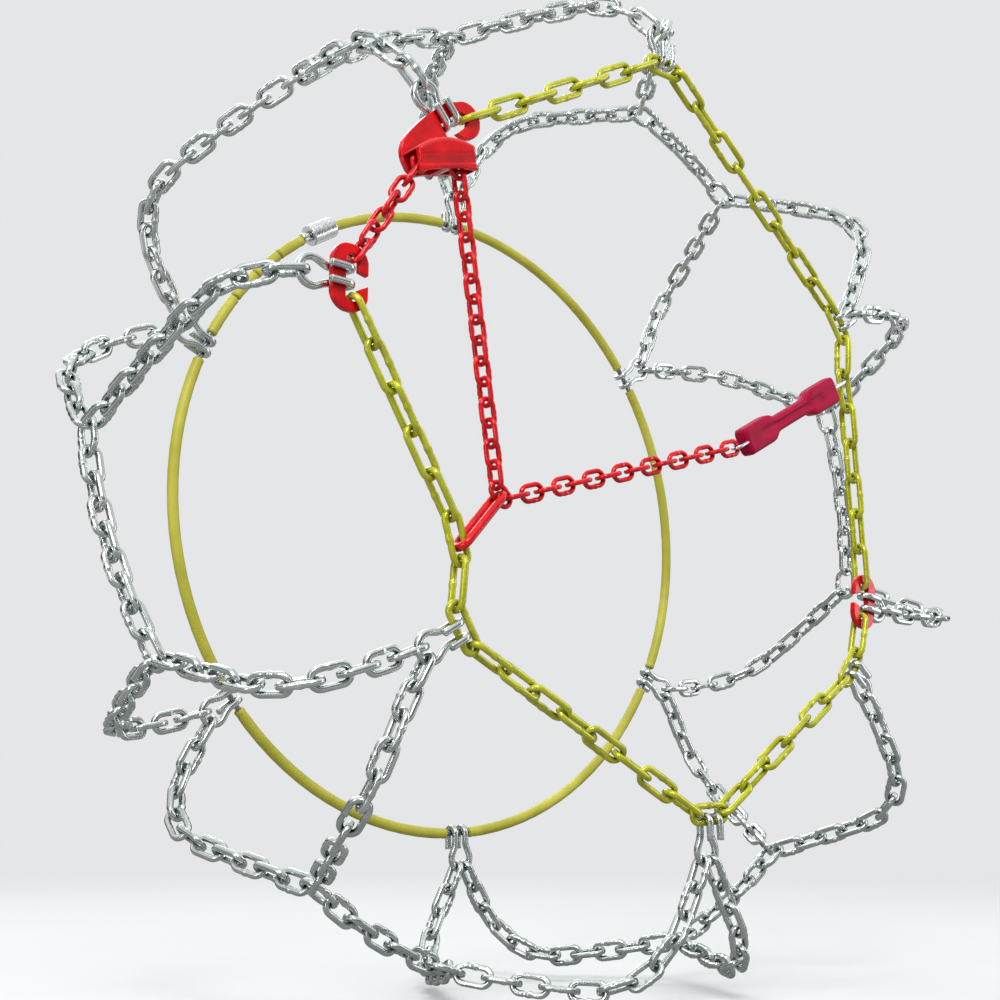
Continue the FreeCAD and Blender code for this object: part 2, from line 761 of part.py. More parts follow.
def build_side_chain():
    """The seven stretches of side chain, from the lock plate round to the first shackle."""
    crown = side_link.crown
    a2, a3, a4, a5, a6 = (carriers[name] for name in ("a2", "a3", "a4", "a5", "a6"))
    hooked, ringed = carriers["tensioner"], carriers["ring"]
    group("side_chain_1", side_run(lock_eye_centre, lock_radius, a6.start, crown))
    group("side_chain_2", [a6.shape] + side_run(a6.end, crown, a5.start, crown) + [a5.shape])
    group("side_chain_3", side_run(a5.end, crown, hooked.start, crown) + [hooked.shape]
          + side_run(hooked.end, crown, shackle_eye[2]["top"], shackle_radius))
    group("side_chain_4", side_run(shackle_eye[2]["bottom"], shackle_radius, a4.start, crown) + [a4.shape])
    group("side_chain_5", side_run(a4.end, crown, a3.start, crown) + [a3.shape])
    group("side_chain_6", side_run(a3.end, crown, a2.start, crown) + [a2.shape])
    group("side_chain_7", side_run(a2.end, crown, ringed.start, crown) + [ringed.shape]
          + side_run(ringed.end, crown, shackle_eye[1]["bottom"], shackle_radius))


# Ring: its lower post stands in the ring link, its upper post in a link of the pull chain
ring_link = Link("ring")
RING_DIRECTION = 48.7
ring_foot = carriers["ring"].centre - carriers["ring"].along * 5.4
ring_axis = heading(RING_DIRECTION)
ring_top = ring_foot + ring_axis * (size("ring_length") + size("ring_wire"))


class PullLink:
    """Pull chain link that lies flat and turns the chain."""

    def __init__(self, centre, along):
        self.along = unit(along)
        self.start = centre - self.along * pull_link.crown_reach
        self.end = centre + self.along * pull_link.crown_reach
        self.shape = pull_link.at(centre, self.along, OUTWARD)


GUIDE_PLAY = 0.5
guide_lift = half_plate + size("pull_width") / 2 + GUIDE_PLAY
guide_frame = frame_at(face_point(HOOD_MIDDLE[0], HOOD_MIDDLE[1], guide_lift), heading(HOOD_TILT), OUTWARD)
guide_in = PullLink(guide_frame.multVec(Vector(-12.0, -1.6, 0)), heading(HOOD_TILT + 25.0))
guide_out = PullLink(guide_frame.multVec(Vector(10.6, -5.0, 0)), heading(HOOD_TILT - 62.0))
ring_seat_offset = (size("pull_width") - size("pull_wire")) / 2 - (size("pull_wire") + size("ring_wire")) / 2
turn_link_centre = ring_top + ring_axis * (ring_seat_offset - size("pull_play"))
turn_link = PullLink(turn_link_centre, heading(RING_DIRECTION - 90.0))


def pull_run(from_centre, from_radius, to_centre, to_radius, count=None):
    """Pull chain links between two seats."""
    return straight_run(pull_link, from_centre, from_radius, to_centre, to_radius, OUTWARD, count)


def build_pull_chain():
    """Pull chain from the first shackle through the hood and down to the ring."""
    crown = pull_link.crown
    upper = pull_run(shackle_eye[1]["top"] + INWARD * PULL_START_SINK, shackle_radius, guide_in.start, crown)
    under_hood = pull_run(guide_in.end, crown, guide_out.start, crown, 1)
    group("pull_chain_upper", upper + [guide_in.shape] + under_hood + [guide_out.shape])
    drop = pull_run(guide_out.end, crown, turn_link.start, crown)
    group("pull_chain_drop", drop + [turn_link.shape])


# ---------------------------------------------------------------- tail of the pull chain and tensioner

TAIL_GROUPS = 4
LINKS_PER_GROUP = 4
hook_wire_point = (carriers["tensioner"].centre - carriers["tensioner"].along * 5.5
                   + carriers["tensioner"].along.cross(OUTWARD) * half_side_width)
TAIL_DIRECTION = 17.3
tail_links = LINKS_PER_GROUP * TAIL_GROUPS
tail_end_reach = tail_links * (pull_link.length - pull_link.play) + pull_link.crown - pull_link.play
tail_end = turn_link.end + heading(TAIL_DIRECTION) * tail_end_reach + OUTWARD * size("hook_lift")
tail_along = unit(tail_end - turn_link.end)


def build_tail():
    """Tail of the pull chain, in groups of links that hinge on the last wire of the group before."""
    start = turn_link.end + tail_along * (pull_link.crown - pull_link.play)
    pitch = pull_link.length - pull_link.play
    pivots = [turn_link.end + tail_along * (pull_link.crown + pull_link.wire / 2)]
    for number in range(TAIL_GROUPS):
        links = []
        for place in range(LINKS_PER_GROUP):
            centre = start + tail_along * (pitch * (number * LINKS_PER_GROUP + place + 0.5))
            across = tail_along.cross(OUTWARD)
            facing = across if place % 2 == 0 else across.cross(tail_along)
            links.append(pull_link.at(centre, tail_along, facing))
        group("pull_chain_tail_%d" % (number + 1), links)
        reach = (number + 1) * LINKS_PER_GROUP * pitch + (pull_link.wire + pull_link.play) / 2
        pivots.append(start + tail_along * reach)
    return pivots


EYE_PLAY = 0.55
WIRE_GRIP = 12.0
SOCKET_END_PLAY = 0.1


def build_tensioner(pivot):
    """Rubber strap with a wire eye on the last tail link and a wire hook over the side chain."""
    target = hook_wire_point + OUTWARD * size("hook_lift")
    along = unit(target - pivot)
    half_gap = size("eye_half_gap")
    eye_wire = size("eye_wire")
    neck = 6.0
    eye_centre = pivot + along * (half_gap - pull_link.wire / 2 - eye_wire / 2 - EYE_PLAY)
    strap_start = eye_centre + along * neck
    frame = frame_at(strap_start, along, OUTWARD)
    crown_x = -neck
    eye = wire_solid([
        Part.LineSegment(Vector(WIRE_GRIP, 0, half_gap), Vector(crown_x, 0, half_gap)).toShape(),
        arc(Vector(crown_x, 0, half_gap), Vector(crown_x - half_gap, 0, 0), Vector(crown_x, 0, -half_gap)),
        Part.LineSegment(Vector(crown_x, 0, -half_gap), Vector(WIRE_GRIP, 0, -half_gap)).toShape()], eye_wire)
    group("tensioner_eye", [placed(eye, frame)])
    length = size("strap_length")
    lift = size("hook_lift")
    wire_x = (target - strap_start).dot(along)
    hook = wire_solid([
        Part.LineSegment(Vector(length - WIRE_GRIP, 0, 0), Vector(wire_x, 0, 0)).toShape(),
        arc(Vector(wire_x, 0, 0), Vector(wire_x + lift * math.sqrt(0.5), 0, lift * (math.sqrt(0.5) - 1)),
            Vector(wire_x + lift, 0, -lift)),
        Part.LineSegment(Vector(wire_x + lift, 0, -lift), Vector(wire_x + lift, 0, -lift - 2)).toShape()],
        size("hook_wire"))
    group("tensioner_hook", [placed(hook, frame)])
    build_strap(frame)


def build_strap(frame):
    """Dog-bone rubber strap with sockets for the two wire ends."""
    body = doc.addObject("PartDesign::Body", "rubber_strap")
    length = size("strap_length")
    end = size("strap_end_width") / 2
    waist = size("strap_waist_width") / 2
    flat = size("strap_end_length")
    taper = 9.0
    outline = sketch_on(body, "strap_outline", "XY_Plane")
    upper = [(0, end - 2), (2, end), (flat, end), (flat + taper, waist), (length - flat - taper, waist),
             (length - flat, end), (length - 2, end), (length, end - 2)]
    polygon_in(outline, upper + [(x, -y) for x, y in reversed(upper)])
    pad(body, "strap_blank", outline, "Sizes.strap_thickness")
    socket_depth = "%s mm" % (2 * (WIRE_GRIP + SOCKET_END_PLAY))
    sockets = sketch_on(body, "strap_eye_sockets_sketch", "YZ_Plane")
    for side in (1, -1):
        circle_in(sockets, 0, side * size("eye_half_gap"), "Sizes.eye_wire / 2 + Sizes.socket_play")
    pocket(body, "strap_eye_sockets", sockets, socket_depth)
    far = sketch_on(body, "strap_hook_socket_sketch", "YZ_Plane", "Sizes.strap_length")
    circle_in(far, 0, 0, "Sizes.hook_wire / 2 + Sizes.socket_play")
    body.Tip = pocket(body, "strap_hook_socket", far, socket_depth)
    body.Placement = frame
    return sub_part(body, "rubber_strap")


# ---------------------------------------------------------------- tread net

LEG_SPREAD = 32.0
LEG_SIGHT = 30.0
OUTER_FORKS = [("lock", "shackle_1"), ("a2", "a2"), ("a3", "a3"),
               ("a4", "shackle_2"), ("a5", "a5"), ("a6", "a6")]


def leg_lean(corner, fork):
    """Angle between a fork hook's pull and the way its leg to a corner sets off, in degrees."""
    path = SurfacePath(corner, surface_reach(fork.loop_centre), fork.loop_centre)
    sight = path.at(path.total - LEG_SIGHT)[0] - fork.loop_centre
    return math.degrees(math.atan2(sight.dot(OUTWARD.cross(fork.direction)), sight.dot(fork.direction)))


def leg_run(corner, fork, spread):
    """Tread chain from a corner of a diamond to a fork hook's loop, `spread` degrees off its middle."""
    seat = fork.loop_wire(spread)
    path = SurfacePath(corner, surface_reach(seat), seat)
    return surface_run(tread_link, path, corner_link.crown, -size("fork_wire") / 2)


def leg_pair(corners, pair):
    """Two legs to their fork hooks; legs that share one hook keep a link's room between them."""
    leans = [leg_lean(corner, fork) for corner, fork in zip(corners, pair)]
    if pair[0] is pair[1]:
        middle = (leans[0] + leans[1]) / 2
        half = max(LEG_SPREAD, abs(leans[0] - leans[1]) / 2)
        order = 1.0 if leans[0] > leans[1] else -1.0
        leans = [middle + order * half, middle - order * half]
    return leg_run(corners[0], pair[0], leans[0]) + leg_run(corners[1], pair[1], leans[1])


def build_outer_legs():
    """Two outer legs of each diamond."""
    for number in range(6):
        corners = [CORNERS[corner] for corner in DIAMOND_CORNERS[number]]
        pair = [forks[name] for name in OUTER_FORKS[number]]
        group("diamond_%d_outer_legs" % (number + 1), leg_pair(corners, pair))


def build_inner_legs():
    """Two inner legs of each diamond, with the fork hooks that hold them on the hoop."""
    hooks = []
    for number, angle in enumerate(INNER_HOOK_ANGLES):
        fork = Fork(polar(size("hoop_radius"), angle, -face_y), heading(angle), INWARD)
        hooks.append(fork.shape)
        corners = [CORNERS[corner] for corner in DIAMOND_CORNERS[number]]
        group("diamond_%d_inner_legs" % (number + 1), leg_pair(corners, [fork, fork]))
    group("inner_fork_hooks", hooks)


def build_connectors():
    """Chain between neighbouring diamonds, with a wider corner link at each end."""
    corner_span = 2 * corner_link.crown_reach
    corner_shapes = []
    for number, (first, second) in enumerate(CONNECTORS):
        path = SurfacePath(CORNERS[first], CORNERS[second])
        near = path.at(corner_span)
        far = path.at(path.total - corner_span)
        for inner, corner in ((near, path.at(0.0)), (far, path.at(path.total))):
            along = unit(inner[0] - corner[0])
            centre = (inner[0] + corner[0]) * 0.5
            corner_shapes.append(corner_link.at(centre, along, unit(inner[1] + corner[1])))
        between = SurfacePath(place_on_tread(near[0]), place_on_tread(far[0]))
        links = surface_run(tread_link, between, corner_link.crown, corner_link.crown)
        group("connector_%d" % (number + 1), links)
    group("corner_links", corner_shapes)


def place_on_tread(point):
    """Angle and offset of a point on the flat part of the tread path."""
    return math.degrees(math.atan2(point.z, point.x)), point.y


# ---------------------------------------------------------------- inner hoop

ARM_START = 146.0
ARM_END = 127.0
ARM_COUNT = 3
COUPLING_ANGLE = 122.6
HOOK_GAP_ANGLE = 2.6
JOINT_GAP_ANGLE = 0.22
COUPLING_WALL = 1.2


def hoop_angle(distance):
    """Angle that a distance along the hoop spans."""
    return math.degrees(distance / size("hoop_radius"))


def hoop_arc(from_angle, to_angle, outer, bore=0.0):
    """Round bar or tube along the hoop circle between two angles."""
    middle = (from_angle + to_angle) / 2
    radius = size("hoop_radius")
    start, through, end = (polar(radius, angle, -face_y) for angle in (from_angle, middle, to_angle))
    path = arc(start, through, end)
    bar = wire_solid([path], outer)
    if bore:
        bar = bar.cut(wire_solid([path], bore))
    return bar


def build_hoop():
    """Cable, its sheath between the hooks, and the opening arm in three pieces."""
    cable = size("cable_diameter")
    sheath = size("sheath_diameter")
    bore = size("sheath_bore")
    cable_stop = size("knob_diameter") / 2 + size("coupling_play") + COUPLING_WALL + 1.0
    cable_end = 360.0 + COUPLING_ANGLE - hoop_angle(cable_stop)
    sheath_end = 360.0 + COUPLING_ANGLE - hoop_angle(size("socket_length") / 2 + 1.0)
    start = ARM_START + JOINT_GAP_ANGLE
    group("hoop_cable", [hoop_arc(start, cable_end, cable)])
    edges = [start]
    for stop in sorted(angle if angle > ARM_START else angle + 360.0 for angle in INNER_HOOK_ANGLES):
        edges += [stop - HOOK_GAP_ANGLE, stop + HOOK_GAP_ANGLE]
    edges.append(sheath_end)
    tubes = [hoop_arc(edges[number], edges[number + 1], sheath, bore) for number in range(0, len(edges), 2)]
    group("hoop_sheaths", tubes)
    step = (ARM_START - ARM_END) / ARM_COUNT
    for number in range(ARM_COUNT):
        near = ARM_START - number * step - JOINT_GAP_ANGLE
        far = ARM_START - (number + 1) * step + JOINT_GAP_ANGLE
        group("hoop_arm_%d_cable" % (number + 1), [hoop_arc(near, far, cable)])
        group("hoop_arm_%d_sheath" % (number + 1), [hoop_arc(near, far, sheath, bore)])


def build_coupling():
    """Socket crimped on the fixed cable end, and the knob of the arm that drops in from the free side."""
    centre = polar(size("hoop_radius"), COUPLING_ANGLE, -face_y)
    frame = frame_at(centre, heading(COUPLING_ANGLE + 90.0), INWARD)
    along = Vector(1, 0, 0)
    half = size("socket_length") / 2
    play = size("coupling_play")
    cable_radius = size("cable_diameter") / 2
    knob_radius = size("knob_diameter") / 2
    room = knob_radius + play
    neck_room = cable_radius + play
    pocket_box = Part.makeBox(2 * room, 2 * room, 2 * half, Vector(-room, -room, -room))
    neck_box = Part.makeBox(2 * half, 2 * neck_room, 2 * half, Vector(0, -neck_room, -neck_room))
    bore_end = -room - COUPLING_WALL
    bore = Part.makeCylinder(cable_radius + play, half, Vector(bore_end - half, 0, 0), along)
    socket = Part.makeCylinder(size("socket_diameter") / 2, 2 * half, Vector(-half, 0, 0), along)
    group("coupling_socket", [placed(socket.cut(pocket_box).cut(neck_box).cut(bore), frame)])
    arm_distance = math.radians(ARM_END + JOINT_GAP_ANGLE - COUPLING_ANGLE) * size("hoop_radius")
    collar_start = half + 1.5
    ball = Part.makeSphere(knob_radius)
    neck = Part.makeCylinder(cable_radius, collar_start + 1.0, Vector(0, 0, 0), along)
    collar = Part.makeCylinder(size("sheath_diameter") / 2, arm_distance - play - collar_start,
                               Vector(collar_start, 0, 0), along)
    group("coupling_knob", [placed(ball.fuse(neck).fuse(collar), frame)])


# ---------------------------------------------------------------- assembly and export

build_shackle("shackle_plate_1", "shackle_1")
build_shackle("shackle_plate_2", "shackle_2")
build_lock_plate()
build_hood()
build_rivets()
build_side_chain()
group("tension_ring", [ring_link.at((ring_foot + ring_top) * 0.5, ring_axis, ring_axis.cross(OUTWARD))])
build_pull_chain()
tail_pivots = build_tail()
build_tensioner(tail_pivots[-1])
group("outer_fork_hooks", [fork.shape for fork in forks.values()])
build_outer_legs()
build_inner_legs()
build_connectors()
build_hoop()
build_coupling()

doc.recompute()
for item in doc.Objects:
    if "Invalid" in item.State or "Error" in item.State:
        raise RuntimeError("%s failed: %s" % (item.Name, item.State))
for item in SUB_PARTS:
    if item.Shape.isNull() or not item.Shape.isValid():
        raise RuntimeError("bad shape in " + item.Label)

os.makedirs("parts", exist_ok=True)
for item in SUB_PARTS:
    item.Shape.exportStep("parts/%s.step" % item.Label)
print(len(SUB_PARTS), "sub-parts")
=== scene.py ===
import bpy
import json
import math
import numpy as np
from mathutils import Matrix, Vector


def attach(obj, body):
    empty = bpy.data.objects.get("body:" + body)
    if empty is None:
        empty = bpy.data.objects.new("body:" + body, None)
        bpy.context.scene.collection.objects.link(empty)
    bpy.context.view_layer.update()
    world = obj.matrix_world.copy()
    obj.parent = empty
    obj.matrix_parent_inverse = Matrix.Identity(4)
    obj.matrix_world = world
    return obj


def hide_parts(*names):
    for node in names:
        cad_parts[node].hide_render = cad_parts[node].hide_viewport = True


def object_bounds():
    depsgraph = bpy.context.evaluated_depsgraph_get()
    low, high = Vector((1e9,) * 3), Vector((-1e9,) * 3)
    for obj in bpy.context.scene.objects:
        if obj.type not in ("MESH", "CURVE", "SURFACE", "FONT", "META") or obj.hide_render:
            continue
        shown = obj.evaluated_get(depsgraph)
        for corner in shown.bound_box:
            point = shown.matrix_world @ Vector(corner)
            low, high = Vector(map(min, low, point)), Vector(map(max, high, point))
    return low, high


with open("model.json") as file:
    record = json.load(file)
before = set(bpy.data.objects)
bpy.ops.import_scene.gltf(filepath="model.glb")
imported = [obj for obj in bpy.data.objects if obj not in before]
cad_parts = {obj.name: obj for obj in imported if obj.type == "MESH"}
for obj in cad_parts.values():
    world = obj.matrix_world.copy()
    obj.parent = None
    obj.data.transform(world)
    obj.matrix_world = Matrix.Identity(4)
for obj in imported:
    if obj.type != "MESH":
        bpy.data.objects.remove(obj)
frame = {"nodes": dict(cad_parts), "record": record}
cad_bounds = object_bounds()
nodes = frame["nodes"]
body_of_node = {}
for body, members in frame["record"]["behaviour"]["bodies"].items():
    for member in members:
        body_of_node[member] = body

MM = 0.001
HOOP_RADIUS = 230 * MM
HOOP_PLANE = 116 * MM


# ---------------------------------------------------------------- reading solids from the frame

def mesh_arrays(node):
    """Merged vertices and triangles of a CAD node."""
    mesh = nodes[node].data
    points = np.empty(len(mesh.vertices) * 3, np.float32)
    mesh.vertices.foreach_get("co", points)
    points = points.reshape(-1, 3).astype(float)
    keys = np.round(points * 1e6).astype(np.int64)
    _, first, merged = np.unique(keys, axis=0, return_index=True, return_inverse=True)
    mesh.calc_loop_triangles()
    corners = np.empty(len(mesh.loop_triangles) * 3, np.int32)
    mesh.loop_triangles.foreach_get("vertices", corners)
    return points[first], merged.ravel()[corners].reshape(-1, 3)


def solids(node):
    """Separate solids of a CAD node, as pairs of vertices and triangles."""
    points, triangles = mesh_arrays(node)
    label = np.arange(len(points))
    while True:
        lowest = label[triangles].min(axis=1)
        spread = label.copy()
        np.minimum.at(spread, triangles.ravel(), np.repeat(lowest, 3))
        spread = spread[spread]
        if (spread == label).all():
            break
        label = spread
    found = []
    for value in np.unique(label[triangles[:, 0]]):
        chosen = triangles[label[triangles[:, 0]] == value]
        used, local = np.unique(chosen, return_inverse=True)
        found.append((points[used], local.reshape(-1, 3)))
    return found


def principal_frame(points, triangles):
    """Middle, axes in rows from longest to shortest, and skew along each axis, of a closed surface."""
    a, b, c = (points[triangles[:, corner]] for corner in range(3))
    area = np.linalg.norm(np.cross(b - a, c - a), axis=1) / 2
    middle = ((a + b + c) / 3 * area[:, None]).sum(axis=0) / area.sum()
    a, b, c = a - middle, b - middle, c - middle
    total = a + b + c
    spread = sum(np.einsum("n,ni,nj->ij", area, v, v) for v in (a, b, c, total)) / 12
    values, vectors = np.linalg.eigh(spread)
    axes = vectors[:, np.argsort(values)[::-1]].T
    skew = ((total / 3 @ axes.T) ** 3 * area[:, None]).sum(axis=0) / area.sum()
    return middle, axes, skew


# ---------------------------------------------------------------- building meshes

def grid_faces(rows, columns, close_rows):
    """Quads of a tube of `rows` rings with `columns` points each."""
    faces = []
    for row in range(rows if close_rows else rows - 1):
        following = (row + 1) % rows
        for column in range(columns):
            beside = (column + 1) % columns
            faces.append((row * columns + column, row * columns + beside,
                          following * columns + beside, following * columns + column))
    return faces


class Gather:
    """Collects many small surfaces, each with its own tone, into one mesh."""

    def __init__(self):
        self.points = []
        self.faces = []
        self.tones = []
        self.count = 0

    def add(self, points, faces, tone=0.5):
        points = np.asarray(points, float)
        self.faces += [tuple(index + self.count for index in face) for face in faces]
        self.points.append(points)
        self.tones.append(np.full(len(points), tone, np.float32))
        self.count += len(points)

    def build(self, name):
        mesh = bpy.data.meshes.new(name)
        mesh.from_pydata(np.concatenate(self.points).tolist(), [], self.faces)
        tone = mesh.attributes.new("tone", "FLOAT", "POINT")
        tone.data.foreach_set("value", np.concatenate(self.tones))
        mesh.polygons.foreach_set("use_smooth", np.ones(len(mesh.polygons), bool))
        mesh.update()
        piece = bpy.data.objects.new(name, mesh)
        bpy.context.scene.collection.objects.link(piece)
        return piece


def section(sides, exponent):
    """Points of a unit section: a circle at exponent 2, a rounded square above that."""
    angle = np.linspace(0, 2 * math.pi, sides, endpoint=False)
    cos, sin = np.cos(angle), np.sin(angle)
    reach = (np.abs(cos) ** exponent + np.abs(sin) ** exponent) ** (-1 / exponent)
    return np.stack([cos * reach, sin * reach], axis=1)


def sweep(path, radius, exponent=2.0, sides=16, closed=False, up=(0, 0, 1)):
    """Tube along a path, keeping its section square to `up` where it can; open ends get a small chamfer."""
    path = np.asarray(path, float)
    radius = np.broadcast_to(np.asarray(radius, float), (len(path),)).copy()
    if closed:
        along = np.roll(path, -1, axis=0) - np.roll(path, 1, axis=0)
    else:
        along = np.gradient(path, axis=0)
    along /= np.linalg.norm(along, axis=1)[:, None]
    side = np.empty_like(path)
    last = np.cross(np.asarray(up, float), along[0])
    if np.linalg.norm(last) < 1e-3:
        last = np.cross((1, 0, 0), along[0])
    for number in range(len(path)):
        last = last - along[number] * (last @ along[number])
        last /= np.linalg.norm(last)
        side[number] = last
    over = np.cross(along, side)
    if not closed:
        chamfer = radius[0] * 0.18
        path = np.concatenate([path[:1], path[:1] + along[:1] * chamfer, path[1:-1],
                               path[-1:] - along[-1:] * chamfer, path[-1:]])
        side = np.concatenate([side[:1], side, side[-1:]])
        over = np.concatenate([over[:1], over, over[-1:]])
        radius = np.concatenate([radius[:1] - chamfer, radius, radius[-1:] - chamfer])
    unit = section(sides, exponent)
    rings = (path[:, None, :] + radius[:, None, None]
             * (unit[None, :, :1] * side[:, None, :] + unit[None, :, 1:] * over[:, None, :]))
    points = rings.reshape(-1, 3)
    faces = grid_faces(len(path), sides, closed)
    if not closed:
        faces.append(tuple(reversed(range(sides))))
        faces.append(tuple(range((len(path) - 1) * sides, len(path) * sides)))
    return points, faces


def arc_points(middle, radius, start, end, steps):
    """Points of a circle in the XY plane."""
    angle = np.radians(np.linspace(start, end, steps))
    return np.stack([middle[0] + radius * np.cos(angle), middle[1] + radius * np.sin(angle),
                     np.zeros(steps)], axis=1)


# ---------------------------------------------------------------- links

class LinkShape:
    """Welded link: two straight legs, two half-ring crowns and a weld bead in one leg."""

    def __init__(self, length, width, wire, exponent, bead):
        crown = (width - wire) / 2
        straight = (length - width) / 2
        near_bead = np.linspace(-0.24, 0.24, 17)
        fine = np.concatenate([np.linspace(-1, -0.3, 5), near_bead, np.linspace(0.3, 1, 5)])
        plain = np.linspace(-1, 1, 7)
        top = np.stack([fine[::-1] * straight, np.full(len(fine), crown), np.zeros(len(fine))], axis=1)
        left = arc_points((-straight, 0), crown, 90, 270, 15)[1:-1]
        bottom = np.stack([plain * straight, np.full(len(plain), -crown), np.zeros(len(plain))], axis=1)
        right = arc_points((straight, 0), crown, -90, 90, 15)[1:-1]
        path = np.concatenate([top, left, bottom, right])
        off = np.abs(path[:, 0]) / wire
        on_leg = path[:, 1] > crown * 0.999
        swell = bead * np.exp(-(off / 0.34) ** 2) - 0.5 * bead * np.exp(-((off - 0.72) / 0.13) ** 2)
        radius = wire / 2 * (1 + np.where(on_leg, swell, 0.0))
        self.points, self.faces = sweep(path, radius, exponent, 16, closed=True)


link_shapes = {}


def link_piece(node, exponent, bead, material):
    """One detailed link for every link-shaped solid of a node; returns the finished piece."""
    gather = Gather()
    numbers = np.random.default_rng(sum(ord(letter) for letter in node))
    for points, triangles in solids(node):
        _, axes, _ = principal_frame(points, triangles)
        local = points @ axes.T
        low, high = local.min(axis=0), local.max(axis=0)
        length, width, wire = (round(value, 4) for value in high - low)
        key = (length, width, wire, exponent, bead)
        if key not in link_shapes:
            link_shapes[key] = LinkShape(*key)
        shape = link_shapes[key]
        if np.linalg.det(axes) < 0:
            axes[2] *= -1
            low[2], high[2] = -high[2], -low[2]
        turn = 1.0 if numbers.random() < 0.5 else -1.0
        placed = (shape.points * [turn, turn, 1.0] + (low + high) / 2) @ axes
        gather.add(placed, shape.faces, numbers.random())
    return finish_piece(gather.build(node + "_links"), node, material)


def finish_piece(piece, node, material):
    """Gives a piece its material and lets it stand for its CAD node."""
    piece.data.materials.append(material)
    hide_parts(node)
    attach(piece, body_of_node[node])
    return piece


# ---------------------------------------------------------------- fork hooks

FORK_WIRE = 4.1 * MM
FORK_SECTION = 2.8
FORK_OPENING = 112


def fork_path():
    """Centre line of a fork hook: hooked over the part at the origin, its loop out along X, front along Z."""
    bend, half_gap, loop, reach, tail, shoulder = (value * MM for value in (4.2, 4.5, 8.1, 17.6, 11.0, 6.0))
    spread = math.radians(FORK_OPENING)
    folded = np.linspace([tail, half_gap, bend], [0, half_gap, bend], 8)
    angle = np.radians(np.linspace(90, 270, 15))
    nose = np.stack([bend * np.cos(angle), np.full(15, half_gap), bend * np.sin(angle)], axis=1)
    arm = np.linspace([0, half_gap, -bend], [shoulder, half_gap, -bend], 4)
    joined = np.array([reach + loop * math.cos(spread), loop * math.sin(spread), -bend])
    t = np.linspace(0, 1, 10)[:, None]
    pull = np.linalg.norm(joined - arm[-1])
    flare = ((2 * t ** 3 - 3 * t ** 2 + 1) * arm[-1] + (t ** 3 - 2 * t ** 2 + t) * np.array([pull, 0, 0])
             + (3 * t ** 2 - 2 * t ** 3) * joined
             + (t ** 3 - t ** 2) * np.array([math.sin(spread), -math.cos(spread), 0]) * pull)
    ring = arc_points((reach, 0), loop, FORK_OPENING, 0, 14) + [0, 0, -bend]
    half = np.concatenate([folded[:-1], nose[:-1], arm[:-1], flare[:-1], ring])
    other = half[:-1][::-1] * [1, -1, 1]
    return np.concatenate([half, other])


def fork_piece(node, material):
    """Detailed fork hooks, each turned to match its solid in the frame."""
    points, faces = sweep(fork_path(), FORK_WIRE / 2, FORK_SECTION, 16, up=(0, 1, 0))
    triangles = []
    for face in faces:
        triangles += [(face[0], face[step], face[step + 1]) for step in range(1, len(face) - 1)]
    own_middle, own_axes, own_skew = principal_frame(points, np.array(triangles))
    order = np.argsort(-np.abs(own_skew))
    gather = Gather()
    numbers = np.random.default_rng(11)
    for solid, solid_triangles in solids(node):
        middle, axes, skew = principal_frame(solid, solid_triangles)
        for axis in order[:2]:
            if skew[axis] * own_skew[axis] < 0:
                axes[axis] *= -1
        if np.linalg.det(axes) * np.linalg.det(own_axes) < 0:
            axes[order[2]] *= -1
        gather.add((points - own_middle) @ own_axes.T @ axes + middle, faces, numbers.random())
    return finish_piece(gather.build(node + "_bent_wire"), node, material)


# ---------------------------------------------------------------- cast and pressed parts

def smoothed_piece(node, name, voxel, rounds, material):
    """Copy of a CAD node with its edges melted round, as thick coating leaves them."""
    gather = Gather()
    points, triangles = mesh_arrays(node)
    gather.add(points, triangles.tolist())
    piece = gather.build(name)
    remesh = piece.modifiers.new("even", "REMESH")
    remesh.mode = "VOXEL"
    remesh.voxel_size = voxel
    remesh.use_smooth_shade = True
    smooth = piece.modifiers.new("melt", "SMOOTH")
    smooth.factor = 0.5
    smooth.iterations = rounds
    return finish_piece(piece, node, material)


# ---------------------------------------------------------------- inner hoop

def hoop_spans(node):
    """(start, end, outer radius) of each round bar along the hoop, angles in degrees."""
    spans = []
    for points, _ in solids(node):
        angle = np.sort(np.degrees(np.arctan2(points[:, 2], points[:, 0])))
        gaps = np.diff(np.append(angle, angle[0] + 360))
        start = angle[(gaps.argmax() + 1) % len(angle)]
        spans.append((start, start + 360 - gaps.max(), np.ptp(points[:, 1]) / 2))
    return spans


def hoop_line(start, end, steps, lift=0.0, turn=0.0):
    """Points along the hoop, `lift` off its centre line at an angle round it that winds by `turn`."""
    angle = np.radians(np.linspace(start, end, steps))
    twist = turn + (angle - angle[0]) * STRAND_TURNS
    radius = HOOP_RADIUS + lift * np.cos(twist)
    depth = HOOP_PLANE + lift * np.sin(twist)
    return np.stack([radius * np.cos(angle), depth, radius * np.sin(angle)], axis=1)


CABLE_RADIUS = 2.0 * MM
STRAND_TURNS = 44.0


def cable_piece(node, material):
    """Stranded cable: six strands wound round a core."""
    gather = Gather()
    start, end, _ = hoop_spans(node)[0]
    strand = CABLE_RADIUS / 3
    steps = max(24, int((end - start) * 3))
    for number in range(6):
        path = hoop_line(start, end, steps, 2 * strand, number * math.pi / 3)
        points, faces = sweep(path, strand, sides=7, up=(0, 1, 0))
        gather.add(points, faces, number / 6)
    points, faces = sweep(hoop_line(start, end, steps // 2), strand * 1.1, sides=6, up=(0, 1, 0))
    gather.add(points, faces)
    return finish_piece(gather.build(node + "_strands"), node, material)


